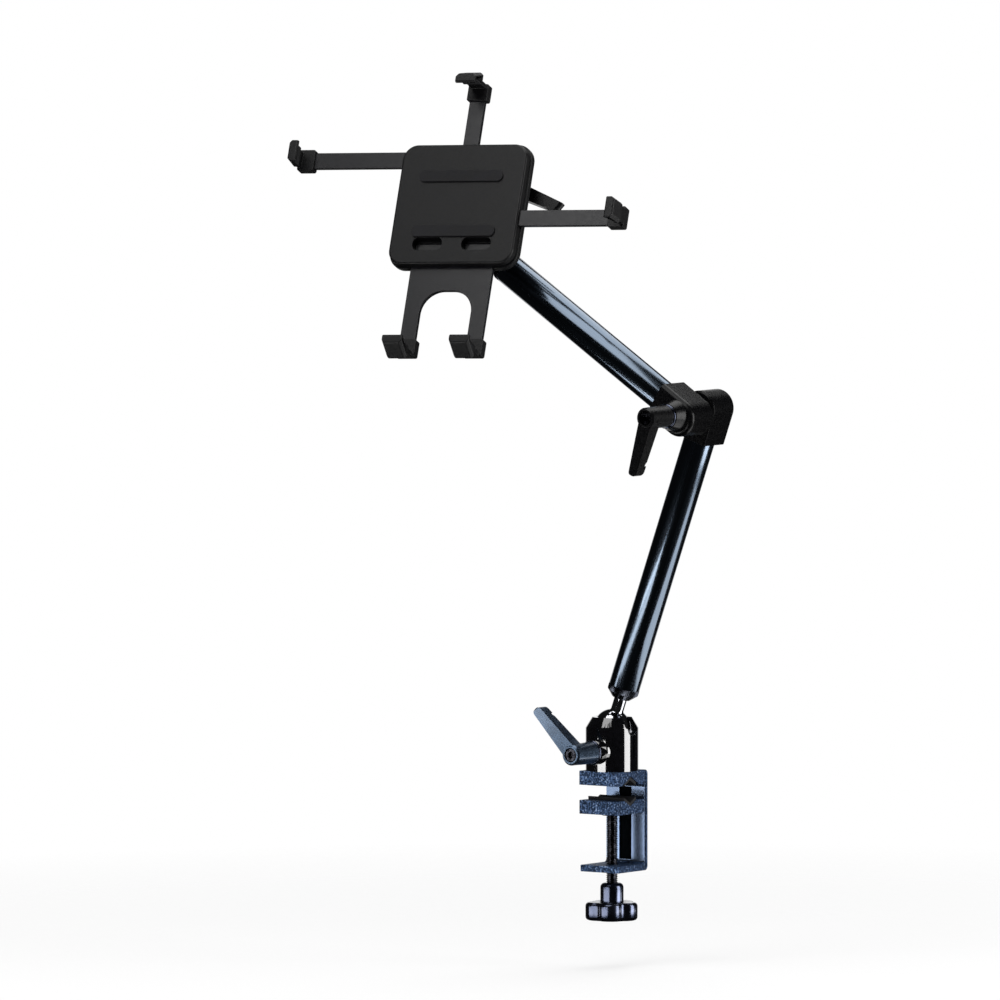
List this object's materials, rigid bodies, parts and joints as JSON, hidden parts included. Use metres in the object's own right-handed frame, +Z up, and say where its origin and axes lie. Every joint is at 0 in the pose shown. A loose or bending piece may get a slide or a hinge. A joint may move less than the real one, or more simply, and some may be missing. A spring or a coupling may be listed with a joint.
{
  "type": "car seat tablet mount",
  "caption": "Clamp-on arm for a tablet: a screw clamp for a round rail, two tubes with ball joints and an elbow, ratchet levers and a hooked cradle.",
  "frame": {"origin": "on the axis of the gripped rail, straight above the clamp screw", "axes": "+Z up along the clamp screw, +X along the rail, +Y towards the clamp's back plate"},
  "size_m": [0.3091, 0.1443, 0.5775],
  "materials": {
    "clamp_paint": "grainy black powder coat",
    "jaw_rubber": "matte",
    "screw_steel": "black oxide",
    "knob_plastic": "semi-gloss",
    "head_paint": "gloss black",
    "ball_chrome": "polished",
    "plug_metal": "black anodised, turned",
    "tube_anodised": "gloss black anodised",
    "knuckle_paint": "satin black",
    "lever_grey": "grey die cast",
    "lever_black": "black die cast",
    "shell_plastic": "fine grain",
    "pad_rubber": "matte",
    "bar_paint": "satin black",
    "hook_plastic": "satin"
  },
  "bodies": {
    "clamp": {"clamp_frame": "clamp_paint", "upper_jaw_pad": "jaw_rubber"},
    "moving_jaw": {"lower_jaw": "clamp_paint", "lower_jaw_pad": "jaw_rubber"},
    "screw": {"clamp_screw": "screw_steel", "thrust_washer": "screw_steel", "star_knob": "knob_plastic", "knob_cap": "knob_plastic"},
    "base_head": {"base_ball_head": "head_paint", "base_head_screw": "screw_steel"},
    "base_ball": {"base_ball_stem": "ball_chrome"},
    "lower_arm": {"lower_arm_plug": "plug_metal", "lower_arm_tube": "tube_anodised", "lower_knuckle": "knuckle_paint", "elbow_washer": "jaw_rubber"},
    "upper_arm": {"upper_knuckle": "knuckle_paint", "upper_arm_tube": "tube_anodised", "upper_arm_plug": "plug_metal"},
    "cradle_ball": {"cradle_ball_stem": "ball_chrome"},
    "cradle_head": {"cradle_ball_head": "head_paint", "cradle_head_screw": "screw_steel"},
    "cradle": {"cradle_back_shell": "shell_plastic", "cradle_front_shell": "shell_plastic", "upper_pad_strip": "pad_rubber", "lower_pad_strip": "pad_rubber", "foot_bracket": "bar_paint", "lower_left_hook": "hook_plastic", "lower_right_hook": "hook_plastic", "lower_left_hook_pad": "pad_rubber", "lower_right_hook_pad": "pad_rubber"},
    "top_arm": {"top_bar": "bar_paint", "top_hook": "hook_plastic", "top_hook_pad": "pad_rubber"},
    "left_arm": {"left_bar": "bar_paint", "left_hook": "hook_plastic", "left_hook_pad": "pad_rubber"},
    "right_arm": {"right_bar": "bar_paint", "right_hook": "hook_plastic", "right_hook_pad": "pad_rubber"},
    "base_lever_core": {"base_lever_washer": "knob_plastic", "base_lever_insert": "screw_steel", "base_lever_cap_screw": "screw_steel"},
    "base_lever": {"base_lever_handle": "lever_grey"},
    "elbow_lever_core": {"elbow_lever_washer": "knob_plastic", "elbow_lever_insert": "screw_steel", "elbow_lever_cap_screw": "screw_steel"},
    "elbow_lever": {"elbow_lever_handle": "lever_black"},
    "cradle_lever_core": {"cradle_lever_washer": "knob_plastic", "cradle_lever_insert": "screw_steel", "cradle_lever_cap_screw": "screw_steel"},
    "cradle_lever": {"cradle_lever_handle": "lever_black"}
  },
  "joints": [
    {"name": "jaw_slide", "type": "slide", "parent": "clamp", "child": "moving_jaw", "axis": [0, 0, 1], "range_m": [-0.03, 0.00625]},
    {"name": "screw_turn", "type": "hinge", "parent": "moving_jaw", "child": "screw", "pos_m": [0, 0, -0.03], "axis": [0, 0, 1], "range_deg": [-8645, 1805]},
    {"name": "base_pan", "type": "hinge", "parent": "clamp", "child": "base_head", "pos_m": [0, 0, 0.01405], "axis": [0, 0, 1], "range_deg": [-180, 180]},
    {"name": "base_tilt", "type": "hinge", "parent": "base_head", "child": "base_ball", "pos_m": [0, 0, 0.04355], "axis": [0, 1, 0], "range_deg": [-50, 68]},
    {"name": "base_twist", "type": "hinge", "parent": "base_ball", "child": "lower_arm", "pos_m": [0, 0, 0.04355], "axis": [0.3404, 0, 0.9403], "range_deg": [-180, 180]},
    {"name": "elbow_bend", "type": "hinge", "parent": "lower_arm", "child": "upper_arm", "pos_m": [0.07887, 0, 0.26142], "axis": [0, 1, 0], "range_deg": [-55, 76]},
    {"name": "cradle_twist", "type": "hinge", "parent": "upper_arm", "child": "cradle_ball", "pos_m": [-0.09155, -0.028, 0.37208], "axis": [0.8387, 0, -0.5446], "range_deg": [-180, 180]},
    {"name": "cradle_tilt", "type": "hinge", "parent": "cradle_ball", "child": "cradle_head", "pos_m": [-0.09155, -0.028, 0.37208], "axis": [-0.4926, -0.4266, -0.7585], "range_deg": [-3, 114]},
    {"name": "cradle_turn", "type": "hinge", "parent": "cradle_head", "child": "cradle", "pos_m": [-0.08692, -0.05462, 0.38405], "axis": [0.1569, -0.9009, 0.4047], "range_deg": [-180, 180]},
    {"name": "base_lever_turn", "type": "hinge", "parent": "base_head", "child": "base_lever_core", "pos_m": [0, -0.02405, 0.02765], "axis": [0, -1, 0], "range_deg": [0, 120]},
    {"name": "base_lever_lift", "type": "slide", "parent": "base_lever_core", "child": "base_lever", "axis": [0, -1, 0], "range_m": [0, 0.005], "stiffness_N_per_m": 1200, "springref_m": -0.003},
    {"name": "elbow_lever_turn", "type": "hinge", "parent": "lower_arm", "child": "elbow_lever_core", "pos_m": [0.07887, -0.04952, 0.26142], "axis": [0, -1, 0], "range_deg": [0, 120]},
    {"name": "elbow_lever_lift", "type": "slide", "parent": "elbow_lever_core", "child": "elbow_lever", "axis": [0, -1, 0], "range_m": [0, 0.005], "stiffness_N_per_m": 1200, "springref_m": -0.003},
    {"name": "cradle_lever_turn", "type": "hinge", "parent": "cradle_head", "child": "cradle_lever_core", "pos_m": [-0.07721, -0.03207, 0.39676], "axis": [0.4926, 0.4266, 0.7585], "range_deg": [0, 120]},
    {"name": "cradle_lever_lift", "type": "slide", "parent": "cradle_lever_core", "child": "cradle_lever", "axis": [0.4926, 0.4266, 0.7585], "range_m": [0, 0.005], "stiffness_N_per_m": 1200, "springref_m": -0.003},
    {"name": "top_bar_slide", "type": "slide", "parent": "cradle", "child": "top_arm", "axis": [-0.1005, 0.3931, 0.914], "range_m": [-0.015, 0.01]},
    {"name": "left_bar_slide", "type": "slide", "parent": "cradle", "child": "left_arm", "axis": [-0.9825, -0.184, -0.0289], "range_m": [-0.015, 0.01]},
    {"name": "right_bar_slide", "type": "slide", "parent": "cradle", "child": "right_arm", "axis": [0.9825, 0.184, 0.0289], "range_m": [-0.015, 0.01]}
  ],
  "couplings": [
    {"joint": "screw_turn", "follows": "jaw_slide", "rad_per_m": 5026.5}
  ]
}
